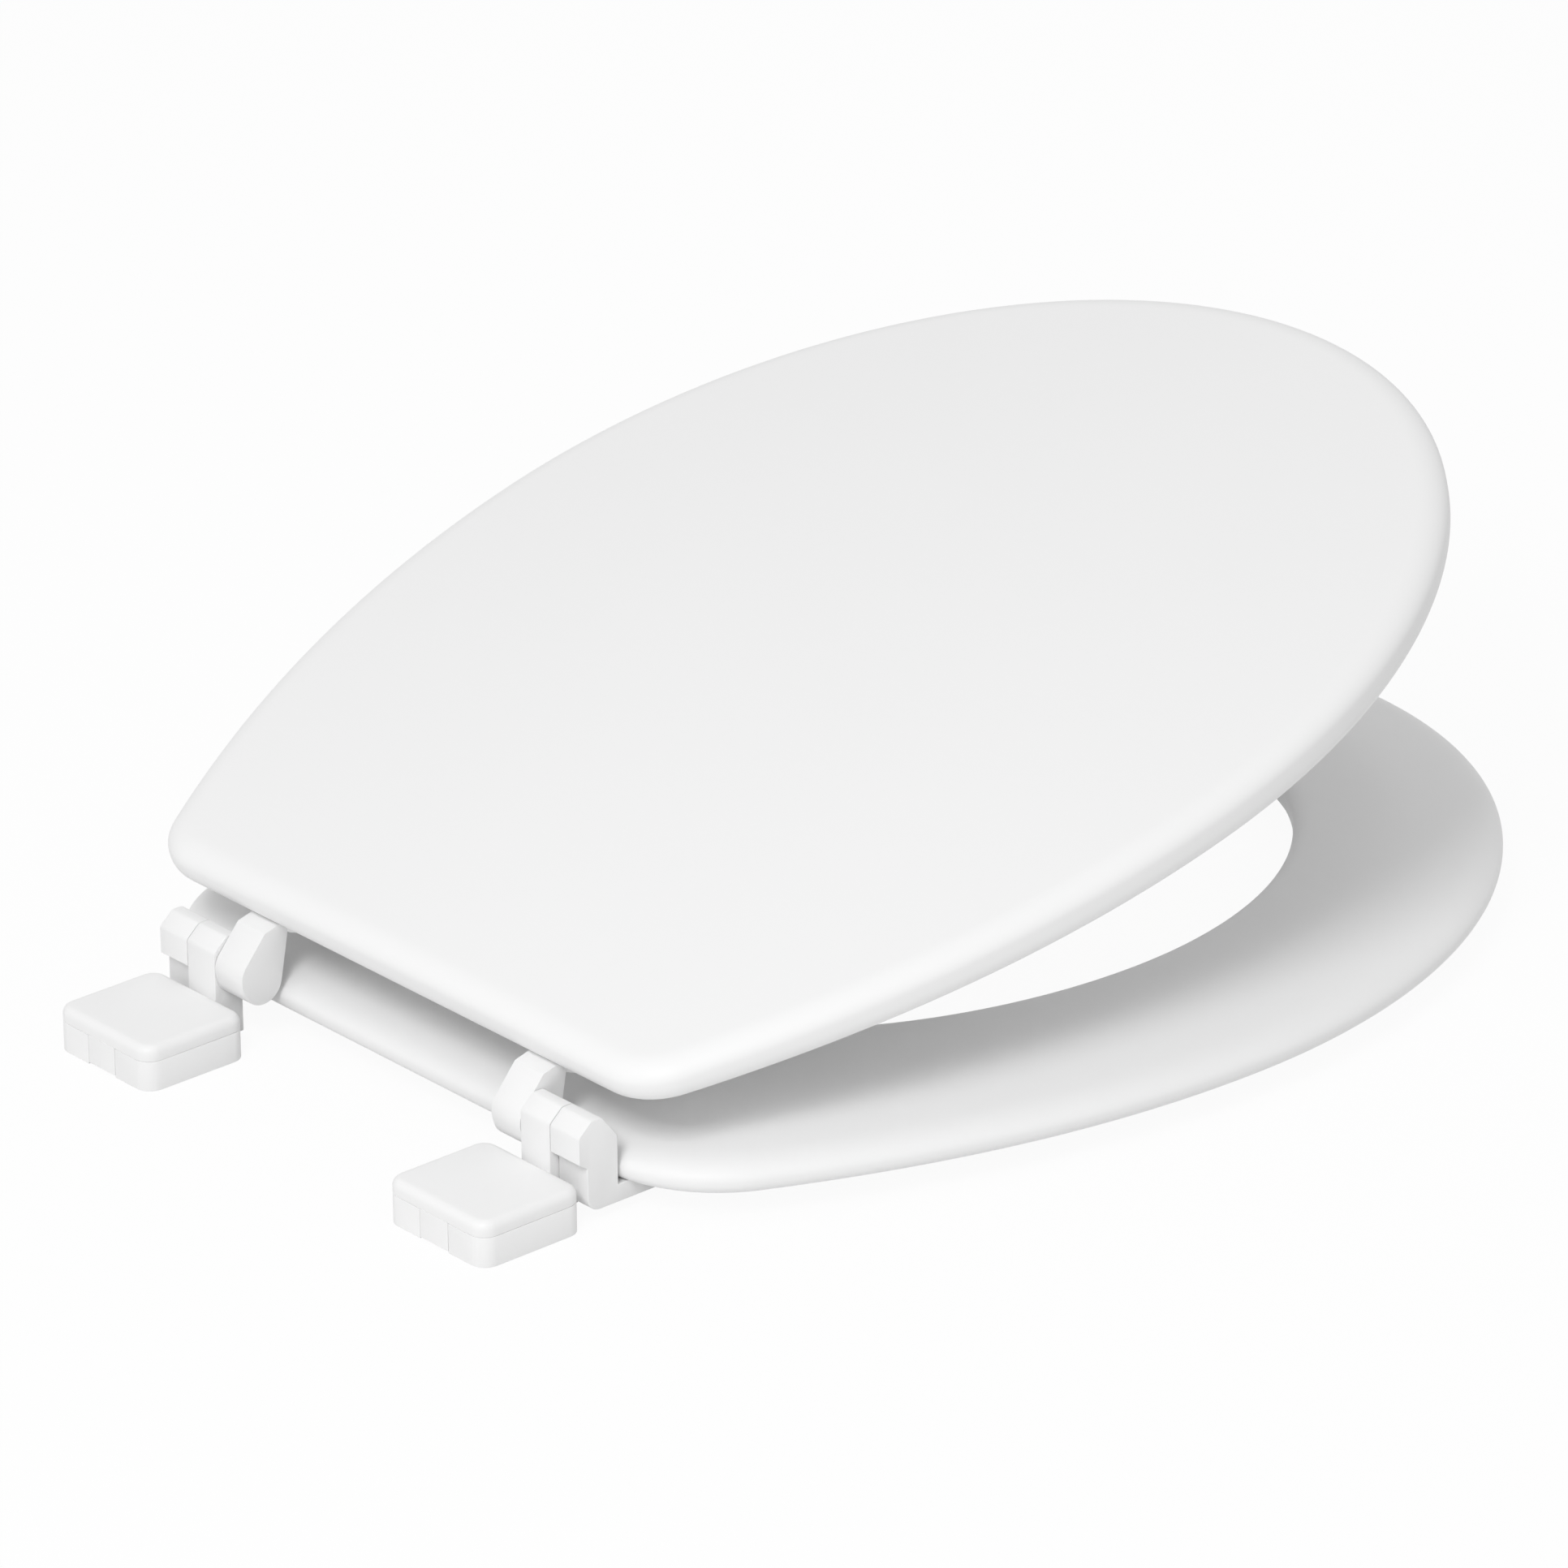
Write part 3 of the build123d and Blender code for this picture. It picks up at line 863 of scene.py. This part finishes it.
def place_camera(stage):
    """Puts the camera at the photograph's angle."""
    turn, rise, roll = stage.azimuth, stage.elevation, stage.roll
    back = Vector((sin(turn) * cos(rise), -cos(turn) * cos(rise), sin(rise)))
    level = Vector((cos(turn), sin(turn), 0))
    upright = back.cross(level)
    right = level * cos(roll) + upright * sin(roll)
    up = upright * cos(roll) - level * sin(roll)
    data = bpy.data.cameras.new("camera")
    data.sensor_width = 36.0
    data.lens = data.sensor_width * stage.focal_pixels / IMAGE_WIDTH
    data.clip_end = 50.0
    camera = bpy.data.objects.new("camera", data)
    bpy.context.scene.collection.objects.link(camera)
    turned = Matrix((right, up, back)).transposed().to_4x4()
    camera.matrix_world = Matrix.Translation(Vector(stage.target) + back * stage.distance) @ turned
    bpy.context.scene.camera = camera


def soft_lamp(name, place, size, power):
    """A large square lamp that faces the seat."""
    data = bpy.data.lights.new(name, "AREA")
    data.shape = "SQUARE"
    data.size = size
    data.energy = power
    lamp = bpy.data.objects.new(name, data)
    lamp.location = place
    lamp.rotation_mode = "QUATERNION"
    lamp.rotation_quaternion = (Vector(LAMP_AIM) - Vector(place)).to_track_quat("-Z", "Y")
    bpy.context.scene.collection.objects.link(lamp)


def seen_directly(graph):
    """1 for what the camera sees directly, in a mirror or through glass, and 0 for light on the object."""
    path = graph.tree.nodes.new("ShaderNodeLightPath")
    kinds = ("Is Camera Ray", "Is Glossy Ray", "Is Transmission Ray")
    camera, glossy, through = (Wire(graph, path.outputs[kind]) for kind in kinds)
    either = graph.node("ShaderNodeMath", {"operation": "MAXIMUM"}, {0: camera, 1: glossy})
    return graph.node("ShaderNodeMath", {"operation": "MAXIMUM"}, {0: either, 1: through})


def light_world(level):
    """An even white surround, white where it is seen."""
    world = bpy.data.worlds.new("studio")
    world.use_nodes = True
    graph = Graph(world.node_tree)
    lit = graph.node("ShaderNodeBackground", {}, {"Color": (1, 1, 1, 1), "Strength": level})
    white = graph.node("ShaderNodeBackground", {}, {"Color": (1, 1, 1, 1), "Strength": 1.0})
    mixed = graph.node("ShaderNodeMixShader", {}, {0: seen_directly(graph), 1: lit, 2: white})
    graph.node("ShaderNodeOutputWorld", {}, {"Surface": mixed})
    bpy.context.scene.world = world


def lay_floor(stage, base):
    """A pale floor that shows the seat's shadow softly."""
    half = stage.floor_size / 2
    material, graph = new_graph("studio_floor")
    matt = graph.node("ShaderNodeBsdfDiffuse", {}, {"Color": (*base, 1)})
    glow = graph.node("ShaderNodeEmission", {}, {"Color": (1, 1, 1, 1), "Strength": 1.0})
    share = seen_directly(graph) * FLOOR_WHITE
    mixed = graph.node("ShaderNodeMixShader", {}, {0: share, 1: matt, 2: glow})
    graph.node("ShaderNodeOutputMaterial", {}, {"Surface": mixed})
    corners = [(-half, -half, 0), (half, -half, 0), (half, half, 0), (-half, half, 0)]
    floor = new_piece("studio_floor", corners, [(0, 1, 2, 3)], material)


class SEAT_OT_stage(Operator):
    """Lay the floor, set the lights and place the camera"""

    bl_idname = "seat.stage"
    bl_label = "Stage"

    def execute(self, context):
        stage = context.scene.seat_stage
        context.scene.view_settings.view_transform = "Standard"
        lay_floor(stage, context.scene.seat_colours.floor)
        light_world(stage.world_level)
        soft_lamp("key_lamp", KEY_PLACE, KEY_SIZE, stage.key_power)
        soft_lamp("overhead_lamp", OVERHEAD_PLACE, OVERHEAD_SIZE, stage.top_power)
        place_camera(stage)
        return {"FINISHED"}


class SEAT_PT_sidebar(Panel):
    """Lists the seat's pieces and sizes in the sidebar"""

    bl_idname = "SEAT_PT_sidebar"
    bl_label = "Toilet seat"
    bl_space_type = "VIEW_3D"
    bl_region_type = "UI"
    bl_category = "Seat"

    def draw(self, context):
        for operator in OPERATORS:
            self.layout.operator(operator.bl_idname)
        for name in GROUPS:
            settings = getattr(context.scene, name)
            box = self.layout.box()
            box.label(text=settings.__doc__)
            for field in settings.__annotations__:
                box.prop(settings, field)


GROUPS = {
    "lid_sizes": LidSizes,
    "ring_sizes": RingSizes,
    "hinge_sizes": HingeSizes,
    "seat_colours": SeatColours,
    "seat_stage": StageSettings,
}
OPERATORS = (
    SEAT_OT_lid,
    SEAT_OT_ring,
    SEAT_OT_hinges,
    SEAT_OT_pins,
    SEAT_OT_screws,
    SEAT_OT_buffers,
    SEAT_OT_stage,
)
CLASSES = (*GROUPS.values(), *OPERATORS, SEAT_PT_sidebar)


def register():
    """Registers the classes and hangs the settings on the scene."""
    for item in CLASSES:
        bpy.utils.register_class(item)
    for name, group in GROUPS.items():
        setattr(bpy.types.Scene, name, PointerProperty(type=group))


def unregister():
    """Undoes what register does."""
    for name in GROUPS:
        delattr(bpy.types.Scene, name)
    for item in reversed(CLASSES):
        bpy.utils.unregister_class(item)


def main():
    """Builds the seat and its stage."""
    register()
    bpy.ops.seat.lid()
    bpy.ops.seat.ring()
    bpy.ops.seat.hinges()
    bpy.ops.seat.pins()
    bpy.ops.seat.screws()
    bpy.ops.seat.buffers()
    bpy.ops.seat.stage()


if __name__ == "__main__":
    main()
